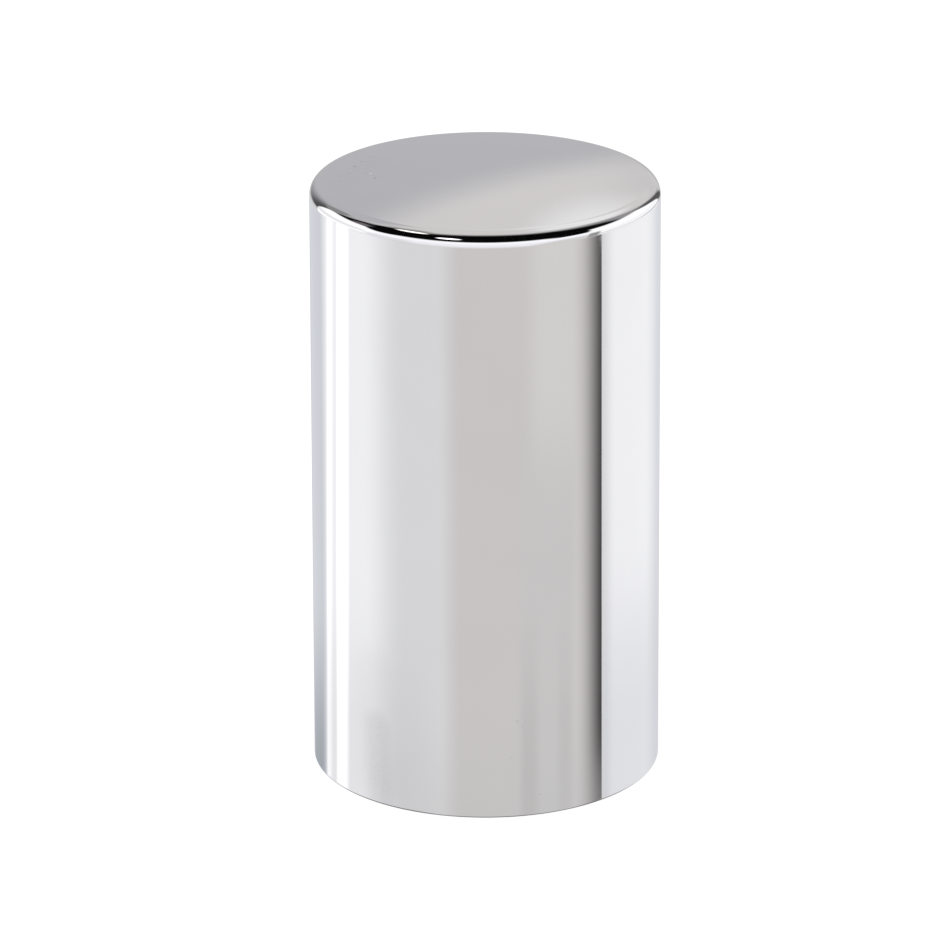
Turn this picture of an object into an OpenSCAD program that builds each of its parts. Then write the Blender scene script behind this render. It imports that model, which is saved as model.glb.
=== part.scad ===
// Push-on cover cap for a wheel nut: a plain plated cylinder with a closed,
// slightly domed crown, moulded in one piece with its grip ribs.
// Millimetres, +Z up. The origin is the centre of the mouth, on which the cap rests.

/* [Shell] */
// Overall height, from the mouth to the middle of the crown
cap_h = 88.9; // [70:0.1:120]
// Outer diameter at the mouth
mouth_d = 50.8; // [49:0.1:62]
// Lean of the side wall towards the crown, in degrees
wall_draft = 0.21; // [0.05:0.01:1]
// Thickness of the side wall above the mouth bore
wall_t = 2.3; // [1.5:0.1:3.5]

/* [Crown] */
// Thickness of the crown
crown_t = 2.6; // [1.5:0.1:5]
// Radius of the crown's shallow dome
dome_r = 350; // [100:5:1000]
// Outer radius where the side wall turns into the crown
corner_r = 2; // [0.5:0.1:5]
// Inner radius at the same corner
inner_corner_r = 1.2; // [0.3:0.1:3]

/* [Mouth] */
// Thickness of the wall around the mouth bore, which passes over the nut's washer
lip_t = 2; // [1.2:0.1:3]
// Depth of the straight mouth bore
bore_depth = 8; // [3:0.5:14]
// Bevel on the inner edge of the mouth
bore_bevel = 0.4; // [0.1:0.05:0.8]
// Radius on the outer edge of the mouth
lip_r = 0.3; // [0.1:0.05:0.6]

/* [Grip ribs] */
// Width of the nut across its flats
nut_af = 33; // [27:0.5:36]
// Depth by which each rib bites into the nut's flat
grip_squeeze = 0.05; // [0:0.01:0.3]
// Distance along the flat from the nut's corner to the middle of a rib
rib_inset = 3; // [1.5:0.1:5]
// Thickness of a rib at its tip, under the crown
rib_t = 1.4; // [0.8:0.1:2.2]
// Draft of each side of a rib, in degrees
rib_side_draft = 0.75; // [0.25:0.05:2]
// Lean of a rib's tip towards the axis, in degrees
rib_tip_draft = 0.25; // [0.05:0.05:0.6]
// Height of the ribs' lower ends above the mouth bore
rib_setback = 2; // [0.5:0.5:10]
// Height of the ramp that leads the nut in between the ribs
lead_h = 5; // [1:0.5:12]
// Depth of the same ramp
lead_d = 2.5; // [0.5:0.1:4]

/* [Hidden] */

// Circles fine enough for the large dome arc
$fn = 360;
// Flats on the nut
nut_flats = 6;
// Distance by which a cut runs past the face it opens
cut_over = 1;
// Overlap of an arc with the line that it meets smoothly, so that they join cleanly
join = 0.0005;
// Colour of the plating
plated = [0.78, 0.78, 0.8];

// Radii at the mouth plane, before the walls lean
mouth_r = mouth_d / 2;
core_r = mouth_r - wall_t;
bore_r = mouth_r - lip_t;

// Height of the centre of the dome's arc
dome_z = cap_h - dome_r;

// Arc at the outer edge of the mouth
lip_c = [leaning_r(mouth_r, lip_r) - lip_r / cos(wall_draft), lip_r];

// Where the ribs begin, where their ramps end and where they pair on each flat
rib_z = bore_depth + rib_setback;
grip_z = rib_z + lead_h;
rib_offset = nut_af / 2 * tan(180 / nut_flats) - rib_inset;

// Distance of a rib's tip and root from the axis, square to the nut's flat
function tip_x(z) = nut_af / 2 - grip_squeeze - (z - grip_z) * tan(rib_tip_draft);
root_x = core_r;
root_t = rib_t + 2 * (root_x - tip_x(cap_h)) * tan(rib_side_draft);

// Radius at height z of a wall that leans inwards from foot_r at the mouth plane
function leaning_r(foot_r, z) = foot_r - z * tan(wall_draft);

// Point at distance r outwards from an arc's centre c, square to the leaning wall
function on_wall(c, r) = c + r * [cos(wall_draft), sin(wall_draft)];

// Height of the centre of an arc of radius r that touches both the wall and the dome:
// the centre lies r inside the wall and on a circle r smaller than the dome
function corner_z(foot_r, top_r, r) =
    let (
        k = foot_r - r / cos(wall_draft),
        t = tan(wall_draft),
        a = 1 + t * t,
        b = k * t + dome_z,
        c = k * k + dome_z * dome_z - pow(top_r - r, 2)
    )
    (b + sqrt(b * b - a * c)) / a;

// Half section under a dome: a foot outline, a leaning wall, a corner arc and the dome
module domed_section(foot, foot_r, top_r, r) {
    z = corner_z(foot_r, top_r, r);
    c = [leaning_r(foot_r, z) - r / cos(wall_draft), z];
    on_dome = c + r * (c - [0, dome_z]) / (top_r - r);
    polygon(concat(foot, [on_wall(c, r), c, [0, c.y]]));
    translate(c) circle(r = r + join);
    intersection() {
        translate([0, dome_z]) circle(r = top_r);
        translate([0, c.y - r]) square([on_dome.x, cap_h]);
    }
}

// The outside: rounded foot, leaning wall, corner and dome
module skin() {
    rotate_extrude() {
        domed_section([[0, 0], [lip_c.x, 0], lip_c, on_wall(lip_c, lip_r - join)], mouth_r, dome_r, corner_r);
        translate(lip_c) circle(r = lip_r);
    }
}

// The space inside: the bevelled mouth bore, then a hollow that keeps the wall even
module hollow() {
    rotate_extrude() {
        polygon([
            [0, -cut_over],
            [bore_r + bore_bevel + cut_over, -cut_over],
            [bore_r, bore_bevel],
            [bore_r, bore_depth],
            [0, bore_depth]
        ]);
        domed_section(
            [[0, bore_depth], [leaning_r(core_r, bore_depth), bore_depth]],
            core_r, dome_r - crown_t, inner_corner_r
        );
    }
}

// Rib seen along the axis, thicker at its root on the wall
module rib_plan() {
    tip = tip_x(cap_h);
    polygon([
        [tip, -rib_t / 2],
        [root_x, -root_t / 2],
        [root_x, root_t / 2],
        [tip, rib_t / 2]
    ]);
}

// Rib seen from its side: blunt lower end, ramp, then the tip that bears on the nut
module rib_side() {
    polygon([
        [root_x, rib_z],
        [tip_x(rib_z) + lead_d, rib_z],
        [tip_x(grip_z), grip_z],
        [tip_x(cap_h), cap_h],
        [root_x, cap_h]
    ]);
}

module rib() {
    intersection() {
        translate([0, 0, rib_z]) linear_extrude(height = cap_h - rib_z) rib_plan();
        rotate([90, 0, 0]) linear_extrude(height = 2 * root_t, center = true) rib_side();
    }
}

// A pair of ribs for each flat of the nut, close to the corners
module ribs() {
    for (flat = [0 : nut_flats - 1], side = [-1, 1])
        rotate([0, 0, flat * 360 / nut_flats])
            translate([0, side * rib_offset, 0])
                rib();
}

// The moulded part is the skin less its core, and the core has a slot for each rib
module cap() {
    color(plated)
        difference() {
            skin();
            difference() {
                hollow();
                ribs();
            }
        }
}

cap();
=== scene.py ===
import bpy
import numpy as np
from math import atan2, cos, pi, radians, sin, sqrt, tan
from mathutils import Matrix, Vector


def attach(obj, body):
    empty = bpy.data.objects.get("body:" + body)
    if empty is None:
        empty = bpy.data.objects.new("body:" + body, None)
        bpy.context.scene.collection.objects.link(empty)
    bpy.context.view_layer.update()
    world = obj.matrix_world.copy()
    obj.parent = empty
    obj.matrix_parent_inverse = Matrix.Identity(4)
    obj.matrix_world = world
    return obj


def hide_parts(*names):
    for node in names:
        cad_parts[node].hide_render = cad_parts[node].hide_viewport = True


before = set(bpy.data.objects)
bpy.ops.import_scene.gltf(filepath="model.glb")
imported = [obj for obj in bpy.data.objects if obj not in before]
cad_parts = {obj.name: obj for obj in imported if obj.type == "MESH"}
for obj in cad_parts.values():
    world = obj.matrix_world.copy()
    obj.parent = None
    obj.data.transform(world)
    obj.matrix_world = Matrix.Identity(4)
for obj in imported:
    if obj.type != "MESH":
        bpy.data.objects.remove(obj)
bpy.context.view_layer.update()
mm = 0.001

# The cover cap. Lengths in millimetres, angles in degrees, the same as the solid's own
capSizes = {
    "height": 88.9,
    "mouthRadius": 25.4,
    "draft": 0.21,  # lean of the wall towards the crown
    "wall": 2.3,
    "crown": 2.6,
    "domeRadius": 350.0,
    "cornerRadius": 2.0,
    "innerCorner": 1.2,
    "lip": 2.0,  # wall around the mouth bore
    "lipRadius": 0.3,
    "boreDepth": 8.0,
    "boreBevel": 0.4,
    "easing": 0.45,  # how far the corner's shading eases into the wall
    "support": 0.02,  # width of the rings that keep flat stretches flat
}

# How finely each stretch of the outline is cut
capSteps = {"around": 288, "dome": 24, "corner": 32, "wall": 12, "lip": 8, "innerCorner": 14}

# The ribs that grip the nut
ribSizes = {
    "flats": 6,
    "nutAcross": 33.0,
    "squeeze": 0.05,
    "inset": 3.0,  # from the nut's corner to the middle of a rib
    "tipThickness": 1.4,
    "sideDraft": 0.75,
    "tipDraft": 0.25,
    "setback": 2.0,  # above the mouth bore
    "leadHeight": 5.0,
    "leadDepth": 2.5,
    "burial": 1.9,  # how far below the crown's top a rib ends, inside the crown
}


def arc(centre, radius, fromAngle, toAngle, steps):
    # centre + radius * (cos a, sin a), with a going evenly between the two angles
    a = np.linspace(fromAngle, toAngle, steps + 1)
    return np.stack([centre[0] + radius * np.cos(a), centre[1] + radius * np.sin(a)], axis=1)


def line(start, end, steps):
    # start + (end - start) * t, with t going evenly from 0 to 1
    t = np.linspace(0, 1, steps + 1)[:, None]
    return np.asarray(start)[None] * (1 - t) + np.asarray(end)[None] * t


def cornerCentre(footRadius, topRadius, radius, draft, domeMiddle):
    # The centre lies one radius inside the leaning wall, r = foot - z tan(draft) - radius / cos(draft),
    # and on a circle one radius smaller than the dome, r^2 + (z - domeMiddle)^2 = (top - radius)^2
    k = footRadius - radius / cos(draft)
    t = tan(draft)
    a = 1 + t * t
    b = k * t + domeMiddle
    c = k * k + domeMiddle**2 - (topRadius - radius) ** 2
    z = (b + sqrt(b * b - a * c)) / a
    return np.array([k - z * t, z])


def capOutline(s, steps):
    # Half section as (radius, height) from the crown's middle: dome, corner, wall, lip, mouth, bore, hollow
    draft = radians(s["draft"])
    lean = np.array([-sin(draft), cos(draft)])  # up along the leaning wall
    square = np.array([cos(draft), sin(draft)])  # square to it, outwards
    domeMiddle = s["height"] - s["domeRadius"]
    coreRadius = s["mouthRadius"] - s["wall"]
    boreRadius = s["mouthRadius"] - s["lip"]
    gap = s["support"]

    def shell(footRadius, topRadius, radius, cornerSteps):
        centre = cornerCentre(footRadius, topRadius, radius, draft, domeMiddle)
        meets = atan2(centre[1] - domeMiddle, centre[0])
        dome = arc((0, domeMiddle), topRadius, pi / 2, meets + gap / topRadius, steps["dome"])
        dome[0, 0] = 0
        corner = arc(centre, radius, meets, draft, cornerSteps)
        return dome, corner, corner[-1]

    dome, corner, wallTop = shell(s["mouthRadius"], s["domeRadius"], s["cornerRadius"], steps["corner"])
    lipCentre = np.array([
        s["mouthRadius"] - s["lipRadius"] * tan(draft) - s["lipRadius"] / cos(draft),
        s["lipRadius"],
    ])
    wallFoot = lipCentre + s["lipRadius"] * square
    wall = line(wallTop - lean * s["easing"], wallFoot + lean * gap, steps["wall"])
    lip = arc(lipCentre, s["lipRadius"], draft, -pi / 2, steps["lip"])
    mouth = np.array([
        [lipCentre[0] - gap, 0],
        [boreRadius + s["boreBevel"], 0],
        [boreRadius, s["boreBevel"]],
        [boreRadius, s["boreDepth"]],
        [coreRadius - s["boreDepth"] * tan(draft), s["boreDepth"]],
    ])
    innerDome, innerCorner, innerTop = shell(
        coreRadius, s["domeRadius"] - s["crown"], s["innerCorner"], steps["innerCorner"]
    )
    hollow = np.concatenate([(innerTop - lean * gap)[None], innerCorner[::-1], innerDome[::-1]])
    return np.concatenate([dome, corner, wall, lip, mouth, hollow])


def revolve(name, outline, around):
    # (r cos a, r sin a, z) for each point (r, z) of an outline that starts and ends on the axis
    a = np.arange(around) * 2 * pi / around
    r, z = outline[1:-1, :1], outline[1:-1, 1:]
    rings = np.stack([r * np.cos(a), r * np.sin(a), z + 0 * a], axis=-1).reshape(-1, 3)
    points = np.concatenate([rings, [[0, 0, outline[0, 1]], [0, 0, outline[-1, 1]]]]) * mm
    here = np.arange(around)
    ahead = (here + 1) % around
    row = np.arange(len(r) - 1)[:, None] * around
    quads = np.stack([row + here, row + around + here, row + around + ahead, row + ahead], axis=-1)
    top, bottom = len(rings), len(rings) + 1
    last = (len(r) - 1) * around
    topFan = np.stack([np.full(around, top), here, ahead], axis=1)
    bottomFan = np.stack([np.full(around, bottom), last + ahead, last + here], axis=1)
    faces = quads.reshape(-1, 4).tolist() + topFan.tolist() + bottomFan.tolist()
    return newPiece(name, points, faces)


def newPiece(name, points, faces):
    mesh = bpy.data.meshes.new(name)
    mesh.from_pydata(points.tolist(), [], faces)
    mesh.validate()
    piece = bpy.data.objects.new(name, mesh)
    bpy.context.scene.collection.objects.link(piece)
    return piece


def gripRibs(s, cap):
    # Each rib is a five-sided plate: half thickness = tip / 2 + (x - tip x) tan(side draft), and its tip
    # leans by x = grip - (z - grip z) tan(tip draft). Copies turn by 60 degrees and mirror about each flat
    draft = tan(radians(s["tipDraft"]))
    foot = cap["boreDepth"] + s["setback"]
    grip = foot + s["leadHeight"]
    top = cap["height"] - s["burial"]
    root = cap["mouthRadius"] - cap["wall"]
    reach = s["nutAcross"] / 2 - s["squeeze"]

    def tip(z):
        return reach - (z - grip) * draft

    side = np.array([
        [root, foot],
        [tip(foot) + s["leadDepth"], foot],
        [tip(grip), grip],
        [tip(top), top],
        [root, top],
    ])
    half = s["tipThickness"] / 2 + (side[:, 0] - tip(cap["height"])) * tan(radians(s["sideDraft"]))
    offset = s["nutAcross"] / 2 * tan(pi / s["flats"]) - s["inset"]
    count = len(side)
    plate = np.concatenate([
        np.stack([side[:, 0], -half, side[:, 1]], axis=1),
        np.stack([side[:, 0], half, side[:, 1]], axis=1),
    ])
    ends = np.arange(count)
    walls = np.stack([ends, (ends + 1) % count, (ends + 1) % count + count, ends + count], axis=1)
    faces = [ends[::-1].tolist(), (ends + count).tolist()] + walls.tolist()
    points, allFaces = [], []
    for flat in range(s["flats"]):
        for way in (-1, 1):
            turn = flat * 2 * pi / s["flats"]
            moved = plate + np.array([0, way * offset, 0])
            x = moved[:, 0] * cos(turn) - moved[:, 1] * sin(turn)
            y = moved[:, 0] * sin(turn) + moved[:, 1] * cos(turn)
            start = len(points) * len(plate)
            points.append(np.stack([x, y, moved[:, 2]], axis=1))
            allFaces += [[start + corner for corner in face] for face in faces]
    return newPiece("gripRibs", np.concatenate(points) * mm, allFaces)


def outwards(piece):
    mesh = piece.data
    size = np.array([face.area for face in mesh.polygons])
    middle = np.array([face.center for face in mesh.polygons])
    normal = np.array([face.normal for face in mesh.polygons])
    volume = float((size[:, None] * middle * normal).sum()) / 3
    if volume < 0:
        mesh.flip_normals()
    return abs(volume) / mm**3


sharpAngle = 30.0  # degrees between faces above which an edge stays crisp


def makeCap():
    cap = revolve("coverCap", capOutline(capSizes, capSteps), capSteps["around"])
    ribs = gripRibs(ribSizes, capSizes)
    outwards(ribs)
    join = cap.modifiers.new("ribs", "BOOLEAN")
    join.operation = "UNION"
    join.solver = "EXACT"
    join.object = ribs
    bpy.context.view_layer.update()
    shape = bpy.data.meshes.new_from_object(cap.evaluated_get(bpy.context.evaluated_depsgraph_get()))
    cap.modifiers.clear()
    cap.data = shape
    shape.name = "coverCap"
    bpy.data.objects.remove(ribs)
    shape.shade_smooth()
    shape.set_sharp_from_angle(angle=radians(sharpAngle))
    print("cap:", len(shape.polygons), "faces,", round(outwards(cap), 1), "cubic mm")
    return cap


# Small helpers for node trees
def put(tree, kind, inputs=None, **settings):
    node = tree.nodes.new(kind)
    for key, value in settings.items():
        setattr(node, key, value)
    for key, value in (inputs or {}).items():
        wire(tree, node.inputs[key], value)
    return node


def wire(tree, socket, value):
    if isinstance(value, bpy.types.NodeSocket):
        tree.links.new(value, socket)
    else:
        socket.default_value = value


def calc(tree, operation, *values):
    node = put(tree, "ShaderNodeMath", operation=operation)
    for socket, value in zip(node.inputs, values):
        wire(tree, socket, value)
    return node.outputs[0]


def newGroup(name, inputs, output):
    # Inputs map a name to its socket type, and the one output is a plain number
    tree = bpy.data.node_groups.new(name, "ShaderNodeTree")
    for label, kind in inputs.items():
        tree.interface.new_socket(label, in_out="INPUT", socket_type=kind)
    tree.interface.new_socket(output, in_out="OUTPUT", socket_type="NodeSocketFloat")
    start = tree.nodes.new("NodeGroupInput")
    end = tree.nodes.new("NodeGroupOutput")
    return tree, start.outputs, end.inputs


def useGroup(tree, group, inputs):
    node = put(tree, "ShaderNodeGroup", node_tree=group)
    for key, value in inputs.items():
        wire(tree, node.inputs[key], value)
    return node.outputs[0]


def mixed(tree, kind, factor, first, second, **settings):
    # The first value at factor 0 and the second at 1. A mix node enables only the sockets of its own kind
    node = put(tree, "ShaderNodeMix", data_type=kind, **settings)
    for socket, value in zip([socket for socket in node.inputs if socket.enabled], (factor, first, second)):
        wire(tree, socket, value)
    return [socket for socket in node.outputs if socket.enabled][0]


def grey(level):
    return (level, level, level, 1.0)


number = "NodeSocketFloat"
vector = "NodeSocketVector"


def softEdgeGroup():
    # smoothstep((position - edge) / width + 1/2): 0 before the edge, 1 past it
    tree, given, result = newGroup("softEdge", {"Position": number, "Edge": number, "Width": number}, "Mask")
    past = calc(tree, "SUBTRACT", given["Position"], given["Edge"])
    share = calc(tree, "DIVIDE", past, given["Width"])
    ramp = put(
        tree,
        "ShaderNodeMapRange",
        {"Value": share, "From Min": -0.5, "From Max": 0.5},
        interpolation_type="SMOOTHSTEP",
    )
    tree.links.new(ramp.outputs[0], result[0])
    return tree


def cardGroup(softEdge):
    # A card in the studio: the product of four soft edges, of which the two sides may lean with elevation
    words = ["Azimuth", "Elevation", "Left", "Right", "Foot", "Head"]
    words += ["Left Width", "Right Width", "Foot Width", "Head Width", "Left Lean", "Right Lean"]
    tree, given, result = newGroup("card", {word: number for word in words}, "Mask")

    def edge(position, place, width):
        return useGroup(tree, softEdge, {"Position": position, "Edge": place, "Width": width})

    def leaning(side):
        return calc(tree, "MULTIPLY_ADD", given[side + " Lean"], given["Elevation"], given[side])

    left = edge(given["Azimuth"], leaning("Left"), given["Left Width"])
    right = edge(leaning("Right"), given["Azimuth"], given["Right Width"])
    foot = edge(given["Elevation"], given["Foot"], given["Foot Width"])
    head = edge(given["Head"], given["Elevation"], given["Head Width"])
    mask = calc(tree, "MULTIPLY", calc(tree, "MULTIPLY", left, right), calc(tree, "MULTIPLY", foot, head))
    tree.links.new(mask, result[0])
    return tree


def lampGroup(softEdge):
    # A round or oval light: 1 inside sqrt(u^2 + v^2) = 1, where u and v are the turned distances from its
    # middle over its half sizes
    words = ["Azimuth", "Elevation", "Across", "Up", "Half Width", "Half Height", "Turn", "Width"]
    tree, given, result = newGroup("lamp", {word: number for word in words}, "Mask")
    dx = calc(tree, "SUBTRACT", given["Azimuth"], given["Across"])
    dy = calc(tree, "SUBTRACT", given["Elevation"], given["Up"])
    c = calc(tree, "COSINE", given["Turn"])
    s = calc(tree, "SINE", given["Turn"])
    along = calc(tree, "ADD", calc(tree, "MULTIPLY", dx, c), calc(tree, "MULTIPLY", dy, s))
    over = calc(tree, "SUBTRACT", calc(tree, "MULTIPLY", dy, c), calc(tree, "MULTIPLY", dx, s))
    u = calc(tree, "DIVIDE", along, given["Half Width"])
    v = calc(tree, "DIVIDE", over, given["Half Height"])
    q = calc(tree, "SQRT", calc(tree, "ADD", calc(tree, "MULTIPLY", u, u), calc(tree, "MULTIPLY", v, v)))
    mask = useGroup(tree, softEdge, {"Position": 1.0, "Edge": q, "Width": given["Width"]})
    tree.links.new(mask, result[0])
    return tree


# The plating. Lengths in millimetres, tones and roughness as plain shares
platingFinish = {
    "tone": (0.80, 0.80, 0.81),
    "roughness": 0.034,
    "leastRoughness": 0.017,
    "cloudSize": 11.0,  # soft clouds where the plating is a little thinner
    "cloudDetail": 2.0,
    "cloudTone": 0.018,
    "smudgeSize": 5.0,  # hand smudges that dull the mirror slightly
    "smudgeDetail": 4.0,
    "smudgeRoughness": 0.022,
    "rippleSize": 13.0,  # long, shallow ripple of the moulded wall
    "rippleDetail": 0.0,
    "rippleHeight": 0.0024,
    "peelSize": 1.6,  # fine orange peel
    "peelDetail": 1.0,
    "peelHeight": 0.00018,
    "insideTone": (0.60, 0.585, 0.56),  # thin, dull plating inside
    "insideRoughness": 0.24,
    "insideCloud": 0.10,
    "insideWithin": 24.2,  # radius inside which the inside finish holds
    "insideBelow": 87.2,  # height below which it holds
    "insideBlend": 0.2,
    "depthFade": 0.35,  # share of tone that the plating loses from the mouth to the crown
}


screenCurve = {"offset": 0.055, "power": 2.4}  # of sRGB


def shown(tone):
    # Light that the plating shows as this tone: ((tone + offset) / (1 + offset))^power over its brightness
    offset, power = screenCurve["offset"], screenCurve["power"]
    return [((t + offset) / (1 + offset)) ** power / platingFinish["tone"][0] for t in tone] + [1.0]


# The studio around the cap, seen only in the plating. Azimuth 0 is the camera's side and 90 its right, and
# "behind" counts azimuth from the far side. Later cards cover earlier ones. A "card" has its left, right,
# foot and head in degrees, "edges" are their soft widths, and "lean" moves left and right for each degree
# up. A "lamp" has its middle's azimuth and elevation, half width and half height. "tone" is how bright a
# card looks in the plating, and "share" how much it covers
allRound = 400.0  # azimuth past any direction, for a card without an end on that side
farDown = -100.0  # elevation below any direction
wallFoot = -40.0  # elevation at which the walls end, hidden by the table
tableLine = -16.6  # elevation at which the table ends and the room begins

studioCards = {
    "rearShade": {
        "card": (-14.2, 60, -10, 57), "edges": (6.5, 20, 6, 12), "lean": (0.8, 0),
        "tone": (0.685, 0.685, 0.697), "behind": True,
    },
    "rearShadeLeft": {
        "card": (-9, 60, -10, 57), "edges": (3.8, 30, 6, 12), "lean": (0.5, 0),
        "tone": (0.685, 0.685, 0.697), "behind": True,
    },
    "rearShadeRight": {
        "card": (-60, -3.4, -10, 20), "edges": (20, 1.6, 6, 6), "tone": (0.70, 0.70, 0.70),
        "share": 0.35, "behind": True,
    },
    "rearGlowNear": {"lamp": (-3.5, 28, 1.9, 6.5), "soft": 1.0, "tone": (0.89, 0.89, 0.89), "behind": True},
    "rearGlowHigh": {
        "lamp": (-34, 50, 30, 12), "soft": 0.9, "turn": -15, "tone": (0.895, 0.895, 0.895),
        "behind": True,
    },
    "rearGlowTop": {"lamp": (-50, 64, 24, 8), "soft": 0.9, "tone": (0.88, 0.88, 0.88), "behind": True},
    "ceilingShade": {"lamp": (-92, 62, 20, 9), "soft": 0.9, "tone": (0.57, 0.565, 0.56)},
    "ceiling": {"lamp": (2.5, 0, 130.5, 76.5), "soft": 0.29, "tone": (0.02, 0.02, 0.02)},
    "ceilingRight": {
        "card": (106, 157.3, 0, 60), "edges": (16, 8, 4, 20), "lean": (0, -0.855),
        "tone": (0.56, 0.55, 0.56),
    },
    "leftCurtain": {
        "card": (-155, -120, -7.5, 27), "edges": (34, 6, 4, 12), "lean": (0.65, 0.4),
        "tone": (0.29, 0.29, 0.29),
    },
    "rightCurtain": {
        "card": (141, 154, -14, 24), "edges": (5, 4, 3, 16), "lean": (-0.8, -0.75),
        "tone": (0.33, 0.33, 0.33),
    },
    "ceilingLeft": {
        "card": (-142.4, -90, 18, 44), "edges": (4, 12, 4, 7), "lean": (0.85, 0),
        "tone": (0.02, 0.02, 0.02),
    },
    "ceilingLeftHigh": {"lamp": (-86.5, 47.6, 14, 7.6), "soft": 0.5, "tone": (0.02, 0.02, 0.02)},
    "ceilingGlow": {"lamp": (-95, 29, 8, 7), "soft": 1.2, "tone": (0.42, 0.40, 0.42)},
    "wideLamp": {"lamp": (-71.2, 56.2, 15.3, 4.4), "soft": 0.5, "turn": 5, "tone": (1.2, 1.185, 1.15)},
    "narrowLamp": {"lamp": (-26.5, 37.5, 9, 4.2), "soft": 0.5, "turn": -8, "tone": (1.5, 1.48, 1.5)},
    "frontWall": {"card": (-80, 76, wallFoot, 16), "edges": (6, 4, 2, 8), "tone": (0.98, 0.98, 0.99)},
    "leftWall": {
        "card": (-134.2, -76, wallFoot, 22.3), "edges": (3, 3, 2, 5), "lean": (0.4, 0),
        "tone": (1, 1, 1),
    },
    "leftWallBand": {
        "card": (-134.2, -84, -9, 1.5), "edges": (3, 8, 3, 3), "lean": (0.4, 0),
        "tone": (0.9, 0.9, 0.91),
    },
    "leftWallCorner": {"lamp": (-130, 29, 10, 10.5), "soft": 0.4, "tone": (0.52, 0.52, 0.52)},
    "leftWallNotch": {"lamp": (-70, 26, 17, 12.6), "soft": 0.3, "tone": (0.02, 0.02, 0.02)},
    "rightWall": {
        "card": (74, 143, wallFoot, 24.5), "edges": (2, 3, 2, 7), "lean": (0, -0.8), "tone": (1, 1, 1),
    },
    "rightWallBand": {
        "card": (82, 143, -9, 1.5), "edges": (8, 3, 3, 3), "lean": (0, -0.8),
        "tone": (0.96, 0.96, 0.965),
    },
    "frontLow": {"card": (-78, 71, wallFoot, -1), "edges": (10, 4, 2, 5), "tone": (0.93, 0.925, 0.945)},
    "frontLowLeft": {"card": (-84, -50, wallFoot, -6), "edges": (10, 10, 2, 6), "tone": (0.87, 0.87, 0.88)},
    "frontLowRight": {
        "card": (52, 75, wallFoot, -5), "edges": (16, 2, 2, 12), "lean": (1.1, 0),
        "tone": (0.82, 0.81, 0.805),
    },
    "frontHead": {"card": (44, 71, 11.5, 60), "edges": (14, 3, 4, 4), "tone": (0.02, 0.02, 0.02)},
    "horizon": {"card": (76, 156, -14.6, -11.2), "edges": (8, 4, 1.5, 2), "tone": (0.79, 0.79, 0.80)},
    "horizonFar": {"card": (124, 156, -14.6, -11.2), "edges": (20, 4, 1.5, 2), "tone": (0.70, 0.70, 0.72)},
    "flagTop": {"card": (70, 79, wallFoot, 1), "edges": (3, 4, 2, 10), "tone": (0.58, 0.58, 0.575)},
}


roomTone = (0.795, 0.784, 0.779)  # the room behind and overhead
plainLight = 0.9  # plain soft light for everything but mirrored rays

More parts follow.
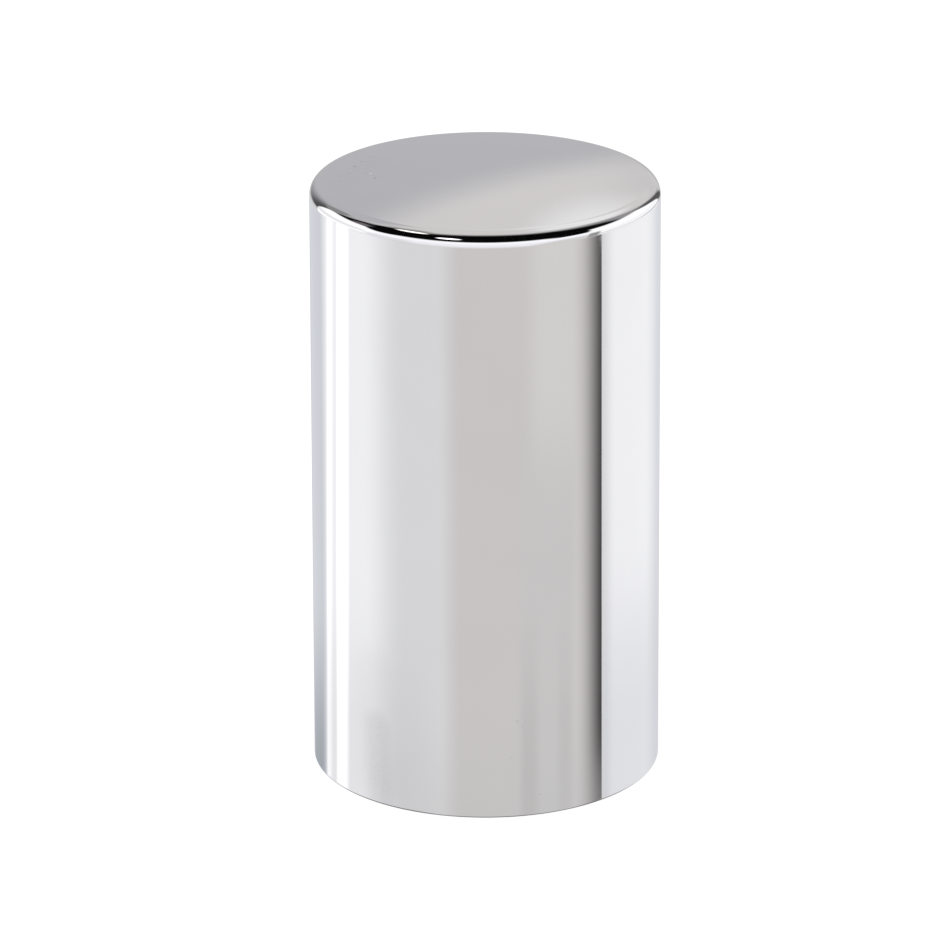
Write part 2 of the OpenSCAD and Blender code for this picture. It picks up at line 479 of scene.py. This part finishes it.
tableCards = {
    "table": {
        "card": (-allRound, allRound, farDown, tableLine), "edges": (1, 1, 1, 1.2),
        "tone": (0.78, 0.767, 0.762),
    },
    "tableLeft": {
        "card": (-allRound, -24, farDown, tableLine), "edges": (1, 16, 1, 1.2),
        "tone": (0.834, 0.834, 0.836),
    },
    "tableSpill": {
        "card": (-allRound, -72, farDown, tableLine), "edges": (1, 34, 1, 1.2),
        "tone": (0.936, 0.936, 0.942),
    },
    "tableFarLeft": {
        "card": (-allRound, -133, farDown, tableLine), "edges": (1, 14, 1, 1.2),
        "tone": (0.785, 0.795, 0.815),
    },
    "stripWide": {
        "card": (-96.4, -88.4, -25.5, tableLine), "edges": (3, 5, 3, 1.2), "lean": (1.0, 0.75),
        "tone": (1.08, 1.08, 1.08),
    },
    "stripNarrow": {
        "card": (-103.1, -96, -25.5, tableLine), "edges": (4.5, 7, 3, 1.2), "lean": (1.35, 1.35),
        "tone": (1.04, 1.04, 1.04),
    },
    "tableRight": {
        "card": (30, 62, farDown, tableLine), "edges": (16, 8, 1, 1.2), "tone": (0.811, 0.805, 0.795),
    },
    "tableRightLow": {
        "card": (22, 62, farDown, -19.7), "edges": (12, 10, 1, 1.4), "tone": (0.776, 0.77, 0.765),
    },
    "sideCard": {
        "card": (78.0, allRound, farDown, tableLine), "edges": (0.8, 1, 1, 1.2), "lean": (-0.223, 0),
        "tone": (0.936, 0.936, 0.942),
    },
    "sideCardEdge": {
        "card": (78.0, 84.5, farDown, tableLine), "edges": (0.8, 14, 1, 1.2), "lean": (-0.223, -0.2),
        "tone": (0.835, 0.835, 0.84),
    },
    "sideCardFar": {
        "card": (146, allRound, farDown, tableLine), "edges": (34, 1, 1, 1.2),
        "tone": (0.805, 0.81, 0.83),
    },
    "lowShadeLeft": {
        "card": (-allRound, -40, farDown, -21.9), "edges": (1, 30, 1, 1.8), "tone": (0.76, 0.76, 0.77),
        "share": 0.3,
    },
    "lowShadeRight": {
        "card": (84, allRound, farDown, -21.6), "edges": (6, 1, 1, 2.0), "tone": (0.76, 0.765, 0.785),
        "share": 0.4,
    },
    "lowShade": {
        "card": (-74, 70, farDown, -22.9), "edges": (30, 10, 1, 1.6), "tone": (0.74, 0.735, 0.735),
        "share": 0.3,
    },
    "lowBandNear": {
        "card": (23, 34, farDown, -22.0), "edges": (7, 8, 1, 2.0), "tone": (0.725, 0.72, 0.715),
        "share": 0.8,
    },
    "lowBandFar": {
        "card": (49, 58, farDown, -22.0), "edges": (7, 7, 1, 2.0), "tone": (0.745, 0.74, 0.735),
        "share": 0.9,
    },
    "farLeftLow": {
        "card": (-allRound, -138, farDown, -22.4), "edges": (1, 12, 1, 2.0),
        "tone": (0.61, 0.63, 0.655),
    },
    "flag": {
        "card": (73.3, 78.1, farDown, -16.8), "edges": (23, 0.8, 1, 0.5), "lean": (-0.03, -0.223),
        "tone": (0.19, 0.18, 0.18),
    },
    "flagCorner": {"lamp": (82.0, -17.48, 2.0, 0.07), "soft": 1.2, "tone": (0.76, 0.76, 0.76)},
    "flagFoot": {
        "card": (60, 78.1, farDown, -23.0), "edges": (10, 0.8, 1, 1.0), "lean": (0, -0.223),
        "tone": (0.75, 0.745, 0.74), "share": 0.3,
    },
    "rimLeft": {
        "card": (-allRound, -167, farDown, tableLine), "edges": (1, 3, 1, 1.2),
        "tone": (0.74, 0.74, 0.76), "share": 0.8,
    },
    "rimRight": {
        "card": (167, allRound, farDown, tableLine), "edges": (3, 1, 1, 1.2),
        "tone": (0.74, 0.74, 0.76), "share": 0.8,
    },
    "underside": {
        "card": (-allRound, allRound, farDown, -56), "edges": (1, 1, 1, 12), "tone": (0.3, 0.3, 0.3),
    },
    "undersideLeft": {
        "card": (-allRound, -45, farDown, -36), "edges": (1, 20, 1, 16), "tone": (0.42, 0.42, 0.43),
    },
    "undersideRight": {
        "card": (84, allRound, farDown, -36), "edges": (4, 1, 1, 16), "tone": (0.42, 0.42, 0.43),
    },
}


def makeWorld(lampTree, cardTree):
    world = bpy.data.worlds.new("studio")
    bpy.context.scene.world = world
    world.use_nodes = True
    tree = world.node_tree
    tree.nodes.clear()
    place = put(tree, "ShaderNodeTexCoord").outputs["Generated"]
    axes = put(tree, "ShaderNodeSeparateXYZ", {0: place}).outputs
    elevation = calc(tree, "DEGREES", calc(tree, "ARCSINE", axes["Z"]))
    fromFront = calc(tree, "ARCTAN2", axes["X"], calc(tree, "MULTIPLY", axes["Y"], -1.0))
    fromBehind = calc(tree, "ARCTAN2", calc(tree, "MULTIPLY", axes["X"], -1.0), axes["Y"])
    front = calc(tree, "DEGREES", fromFront)
    behind = calc(tree, "DEGREES", fromBehind)
    colour = shown(roomTone)
    for name, card in {**studioCards, **tableCards}.items():
        azimuth = behind if card.get("behind") else front
        sockets = {"Azimuth": azimuth, "Elevation": elevation}
        if "lamp" in card:
            sockets.update(zip(("Across", "Up", "Half Width", "Half Height"), map(float, card["lamp"])))
            sockets.update({"Turn": radians(card.get("turn", 0)), "Width": card["soft"]})
            mask = useGroup(tree, lampTree, sockets)
        else:
            sockets.update(zip(("Left", "Right", "Foot", "Head"), map(float, card["card"])))
            widths = ("Left Width", "Right Width", "Foot Width", "Head Width")
            sockets.update(zip(widths, map(float, card["edges"])))
            sockets.update(zip(("Left Lean", "Right Lean"), map(float, card.get("lean", (0, 0)))))
            mask = useGroup(tree, cardTree, sockets)
        if "share" in card:
            mask = calc(tree, "MULTIPLY", mask, card["share"])
        colour = mixed(tree, "RGBA", mask, colour, shown(card["tone"]), label=name)
    studio = put(tree, "ShaderNodeBackground", {"Color": colour, "Strength": 1.0})
    plain = put(tree, "ShaderNodeBackground", {"Color": grey(1.0), "Strength": plainLight})
    backdrop = put(tree, "ShaderNodeBackground", {"Color": grey(1.0), "Strength": 1.0})
    rays = put(tree, "ShaderNodeLightPath").outputs
    mirrored = calc(tree, "MAXIMUM", rays["Is Glossy Ray"], rays["Is Transmission Ray"])
    lit = put(tree, "ShaderNodeMixShader", {0: mirrored, 1: plain.outputs[0], 2: studio.outputs[0]})
    sides = {0: rays["Is Camera Ray"], 1: lit.outputs[0], 2: backdrop.outputs[0]}
    seen = put(tree, "ShaderNodeMixShader", sides)
    end = put(tree, "ShaderNodeOutputWorld")
    tree.links.new(seen.outputs[0], end.inputs["Surface"])
    print("studio:", len(studioCards), "room cards and", len(tableCards), "table cards")


# Small marks: place, radius, how much tone they take away, and how deep they are
platingMarks = {
    "crownPitLarge": {"place": (-18.71, 5.68, 88.4), "radius": 0.22, "tone": -0.42, "depth": 0.010},
    "crownPitRear": {"place": (-17.76, 8.10, 88.35), "radius": 0.17, "tone": -0.34, "depth": 0.008},
    "crownPitFront": {"place": (-19.35, 2.28, 88.35), "radius": 0.30, "tone": -0.12, "depth": 0.003},
    "crownPitLow": {"place": (-15.66, -0.54, 88.5), "radius": 0.24, "tone": -0.34, "depth": 0.006},
    "crownPitFaint": {"place": (-18.08, 3.03, 88.4), "radius": 0.12, "tone": -0.18, "depth": 0.004},
    "crownSpeck": {"place": (-16.34, 1.75, 88.5), "radius": 0.26, "tone": 0.30, "depth": -0.004},
    "crownSpeckSide": {"place": (-16.85, 1.68, 88.5), "radius": 0.14, "tone": -0.24, "depth": 0.004},
    "wallPitHigh": {"place": (4.46, -24.95, 14.89), "radius": 0.22, "tone": -0.08, "depth": 0.001},
    "wallPitNext": {"place": (5.18, -24.82, 13.9), "radius": 0.16, "tone": -0.06, "depth": 0.001},
    "wallPitLow": {"place": (3.6, -25.11, 9.37), "radius": 0.16, "tone": -0.07, "depth": 0.001},
    "wallPitFoot": {"place": (7.62, -24.22, 3.2), "radius": 0.18, "tone": -0.07, "depth": 0.001},
    "wallPitLeft": {"place": (-24.02, -8.24, 0.92), "radius": 0.20, "tone": -0.22, "depth": 0.005},
}
markEdge = 0.9  # softness of a mark's edge, as a share of its radius

# A faint smear low on the wall, and the slightly mottled left part of the crown
platingSmears = {
    "wallHaze": {
        "start": (-16.0, -19.8, 12), "end": (-15.5, -20.2, -3),
        "radius": 3.5, "grain": 0.15, "rough": 0.02, "tone": -0.10,
    },
    "wallHazeHigh": {
        "start": (-16.4, -19.4, 20), "end": (-15.6, -20.1, 5),
        "radius": 6.0, "grain": 0.15, "rough": 0.01, "tone": -0.045,
    },
    "crownMottle": {
        "start": (-20.5, -2.5, 88.3), "end": (-15.5, 9.5, 88.4),
        "radius": 3.2, "grain": 1.0, "rough": 0.03, "tone": -0.045,
    },
}
smearShape = {
    "edge": 0.6,  # share of the radius at which a smear is half gone
    "softness": 0.8,
    "grainSize": 0.55,
    "grainDetail": 3.0,
    "gapLevel": 0.1,  # level of the grain below which it opens gaps
    "gapSoftness": 0.6,
}


def mottleGroup():
    # Soft noise between -1 and 1 whose patches are about Size wide: (noise - 1/2) * 2
    tree, given, result = newGroup("mottle", {"Place": vector, "Size": number, "Detail": number}, "Level")
    scale = calc(tree, "DIVIDE", 1.0, given["Size"])
    sockets = {"Vector": given["Place"], "Scale": scale, "Detail": given["Detail"]}
    noise = put(tree, "ShaderNodeTexNoise", sockets)
    level = calc(tree, "MULTIPLY_ADD", noise.outputs[0], 2.0, -1.0)
    tree.links.new(level, result[0])
    return tree


def markGroup(softEdge):
    # A small round mark: 1 inside distance(place, centre) = radius, falling off softly
    words = {"Place": vector, "Centre": vector, "Radius": number, "Softness": number}
    tree, given, result = newGroup("mark", words, "Mask")
    far = put(tree, "ShaderNodeVectorMath", {0: given["Place"], 1: given["Centre"]}, operation="DISTANCE")
    share = calc(tree, "DIVIDE", far.outputs["Value"], given["Radius"])
    mask = useGroup(tree, softEdge, {"Position": 1.0, "Edge": share, "Width": given["Softness"]})
    tree.links.new(mask, result[0])
    return tree


def smearGroup(softEdge, mottle):
    # A soft smear along a line: its body comes from the distance to start + (end - start) * t, with t held
    # between 0 and 1, over the radius, and body * (1 - grain * (1 - noise)) breaks it up
    words = {"Place": vector, "Start": vector, "End": vector}
    words.update({"Radius": number, "Size": number, "Grain": number})
    tree, given, result = newGroup("smear", words, "Mask")

    def vectorMath(operation, *values):
        node = put(tree, "ShaderNodeVectorMath", operation=operation)
        for socket, value in zip(node.inputs, values):
            wire(tree, socket, value)
        return node.outputs

    along = vectorMath("SUBTRACT", given["End"], given["Start"])["Vector"]
    away = vectorMath("SUBTRACT", given["Place"], given["Start"])["Vector"]
    forward = vectorMath("DOT_PRODUCT", away, along)["Value"]
    whole = vectorMath("DOT_PRODUCT", along, along)["Value"]
    reach = calc(tree, "DIVIDE", forward, whole)
    held = calc(tree, "MINIMUM", calc(tree, "MAXIMUM", reach, 0.0), 1.0)
    step = put(tree, "ShaderNodeVectorMath", {0: along, "Scale": held}, operation="SCALE").outputs["Vector"]
    far = vectorMath("DISTANCE", away, step)["Value"]
    share = calc(tree, "DIVIDE", far, given["Radius"])
    s = smearShape
    body = useGroup(tree, softEdge, {"Position": s["edge"], "Edge": share, "Width": s["softness"]})
    sockets = {"Place": given["Place"], "Size": given["Size"], "Detail": s["grainDetail"]}
    grain = useGroup(tree, mottle, sockets)
    gaps = useGroup(tree, softEdge, {"Position": s["gapLevel"], "Edge": grain, "Width": s["gapSoftness"]})
    broken = calc(tree, "SUBTRACT", 1.0, calc(tree, "MULTIPLY", gaps, given["Grain"]))
    tree.links.new(calc(tree, "MULTIPLY", body, broken), result[0])
    return tree


def insideGroup(softEdge):
    # 1 inside the cap: within a radius and below a height
    words = {"Place": vector, "Within": number, "Below": number, "Blend": number}
    tree, given, result = newGroup("inside", words, "Mask")
    axes = put(tree, "ShaderNodeSeparateXYZ", {0: given["Place"]}).outputs
    flat = put(tree, "ShaderNodeCombineXYZ", {"X": axes["X"], "Y": axes["Y"]}).outputs[0]
    radius = put(tree, "ShaderNodeVectorMath", {0: flat}, operation="LENGTH").outputs["Value"]
    within = useGroup(tree, softEdge, {"Position": given["Within"], "Edge": radius, "Width": given["Blend"]})
    below = useGroup(tree, softEdge, {"Position": given["Below"], "Edge": axes["Z"], "Width": given["Blend"]})
    tree.links.new(calc(tree, "MULTIPLY", within, below), result[0])
    return tree


def makePlating(softEdge, finish):
    # Mirror-bright plating with slight clouds, smudges, ripple and a few pits; dull and thin inside
    material = bpy.data.materials.new("chromePlating")
    material.use_nodes = True
    tree = material.node_tree
    tree.nodes.clear()
    mottle, mark, inside = mottleGroup(), markGroup(softEdge), insideGroup(softEdge)
    smear = smearGroup(softEdge, mottle)
    metres = put(tree, "ShaderNodeTexCoord").outputs["Object"]
    scaled = put(tree, "ShaderNodeVectorMath", {0: metres, "Scale": 1 / mm}, operation="SCALE")
    place = scaled.outputs["Vector"]

    def patches(kind):
        sockets = {"Place": place, "Size": finish[kind + "Size"], "Detail": finish[kind + "Detail"]}
        return useGroup(tree, mottle, sockets)

    clouds, smudges = patches("cloud"), patches("smudge")
    ripple = calc(tree, "MULTIPLY", patches("ripple"), finish["rippleHeight"])
    height = calc(tree, "MULTIPLY_ADD", patches("peel"), finish["peelHeight"], ripple)
    bright = calc(tree, "MULTIPLY_ADD", clouds, finish["cloudTone"], 1.0)
    for spot in platingMarks.values():
        sockets = {"Place": place, "Centre": spot["place"], "Radius": spot["radius"], "Softness": markEdge}
        mask = useGroup(tree, mark, sockets)
        bright = calc(tree, "MULTIPLY_ADD", mask, spot["tone"], bright)
        height = calc(tree, "MULTIPLY_ADD", mask, -spot["depth"], height)
    rough = calc(tree, "MULTIPLY_ADD", smudges, finish["smudgeRoughness"], finish["roughness"])
    for patch in platingSmears.values():
        sockets = {"Place": place, "Start": patch["start"], "End": patch["end"], "Radius": patch["radius"]}
        sockets.update({"Size": smearShape["grainSize"], "Grain": patch["grain"]})
        mask = useGroup(tree, smear, sockets)
        rough = calc(tree, "MULTIPLY_ADD", mask, patch["rough"], rough)
        bright = calc(tree, "MULTIPLY_ADD", mask, patch["tone"], bright)
    rough = calc(tree, "MAXIMUM", rough, finish["leastRoughness"])

    sockets = {"Place": place, "Within": finish["insideWithin"]}
    sockets.update({"Below": finish["insideBelow"], "Blend": finish["insideBlend"]})
    within = useGroup(tree, inside, sockets)
    upward = put(tree, "ShaderNodeSeparateXYZ", {0: place}).outputs["Z"]
    depth = calc(tree, "DIVIDE", upward, finish["insideBelow"])
    thin = calc(tree, "MULTIPLY_ADD", depth, -finish["depthFade"], 1.0)
    dull = calc(tree, "MULTIPLY", thin, calc(tree, "MULTIPLY_ADD", smudges, finish["insideCloud"], 1.0))

    def toned(tone, level):
        node = put(tree, "ShaderNodeVectorMath", {0: tone, "Scale": level}, operation="SCALE")
        return node.outputs["Vector"]

    outer, inner = toned(finish["tone"], bright), toned(finish["insideTone"], dull)
    insideRough = calc(tree, "MULTIPLY_ADD", clouds, finish["smudgeRoughness"], finish["insideRoughness"])
    bump = put(tree, "ShaderNodeBump", {"Height": height, "Distance": mm})
    shader = put(tree, "ShaderNodeBsdfPrincipled", {
        "Metallic": 1.0,
        "Base Color": mixed(tree, "VECTOR", within, outer, inner),
        "Roughness": mixed(tree, "FLOAT", within, rough, insideRough),
        "Normal": bump.outputs[0],
    })
    end = put(tree, "ShaderNodeOutputMaterial")
    tree.links.new(shader.outputs[0], end.inputs["Surface"])
    print("plating:", len(platingMarks), "marks and", len(platingSmears), "smears")
    return material


# The floor: a wide pale disc that keeps a soft shadow under the cap
floorSizes = {"radius": 3.0, "around": 96, "glow": 0.86, "shade": 0.25, "colour": 0.8}


def makeFloor():
    # radius * (cos a, sin a) at the height on which the cap stands
    a = np.arange(floorSizes["around"]) * 2 * pi / floorSizes["around"]
    rim = floorSizes["radius"] * np.stack([np.cos(a), np.sin(a), 0 * a], axis=1)
    floor = newPiece("floor", rim, [list(range(floorSizes["around"]))])
    material = bpy.data.materials.new("paleFloor")
    material.use_nodes = True
    tree = material.node_tree
    tree.nodes.clear()
    rays = put(tree, "ShaderNodeLightPath").outputs
    under = put(tree, "ShaderNodeNewGeometry").outputs["Backfacing"]
    plain = put(tree, "ShaderNodeBsdfDiffuse", {"Color": grey(floorSizes["colour"])})
    shade = put(tree, "ShaderNodeBsdfDiffuse", {"Color": grey(floorSizes["shade"])})
    glow = put(tree, "ShaderNodeEmission", {"Color": grey(1.0), "Strength": floorSizes["glow"]})
    white = put(tree, "ShaderNodeAddShader", {0: shade.outputs[0], 1: glow.outputs[0]})
    sides = {0: rays["Is Camera Ray"], 1: plain.outputs[0], 2: white.outputs[0]}
    seen = put(tree, "ShaderNodeMixShader", sides)
    mirrored = calc(tree, "MAXIMUM", rays["Is Glossy Ray"], rays["Is Transmission Ray"])
    hidden = calc(tree, "MAXIMUM", mirrored, under)
    clear = put(tree, "ShaderNodeBsdfTransparent")
    surface = put(tree, "ShaderNodeMixShader", {0: hidden, 1: seen.outputs[0], 2: clear.outputs[0]})
    end = put(tree, "ShaderNodeOutputMaterial")
    tree.links.new(surface.outputs[0], end.inputs["Surface"])
    floor.data.materials.append(material)
    print("floor: radius", floorSizes["radius"], "m")


# The camera, at the photograph's viewing angle
cameraPlace = {
    "elevation": 20.24,  # degrees above the horizon
    "distance": 0.8012,  # metres from the cap's middle
    "lens": 209.03,
    "sensor": 36.0,
    "aimRight": -1.548,  # mm from the cap's middle to the middle of the picture
    "aimUp": -1.160,
    "roll": -0.139,  # degrees
    "clipStart": 0.01,
    "clipEnd": 20.0,
}


def makeCamera(s):
    e, roll = radians(s["elevation"]), radians(s["roll"])
    middle = Vector((0, 0, capSizes["height"] / 2 * mm))
    back = Vector((0, -cos(e), sin(e)))
    right = Vector((1, 0, 0))
    up = Vector((0, sin(e), cos(e)))
    place = middle + back * s["distance"]
    aim = middle + right * s["aimRight"] * mm + up * s["aimUp"] * mm
    z = (place - aim).normalized()
    y = z.cross(right * cos(roll) + up * sin(roll)).normalized()
    x = y.cross(z)
    data = bpy.data.cameras.new("camera")
    data.sensor_width = s["sensor"]
    data.lens = s["lens"]
    data.clip_start = s["clipStart"]
    data.clip_end = s["clipEnd"]
    camera = bpy.data.objects.new("camera", data)
    turn = Matrix((x, y, z)).transposed().to_4x4()
    camera.matrix_world = Matrix.Translation(place) @ turn
    bpy.context.scene.collection.objects.link(camera)
    bpy.context.scene.camera = camera
    print("camera:", s["lens"], "mm lens,", s["distance"], "m away")


makeCamera(cameraPlace)
makeFloor()
softEdge = softEdgeGroup()
makeWorld(lampGroup(softEdge), cardGroup(softEdge))
cap = makeCap()
cap.data.materials.append(makePlating(softEdge, platingFinish))
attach(cap, "root")
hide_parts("cap")

bpy.context.scene.view_settings.view_transform = "Standard"
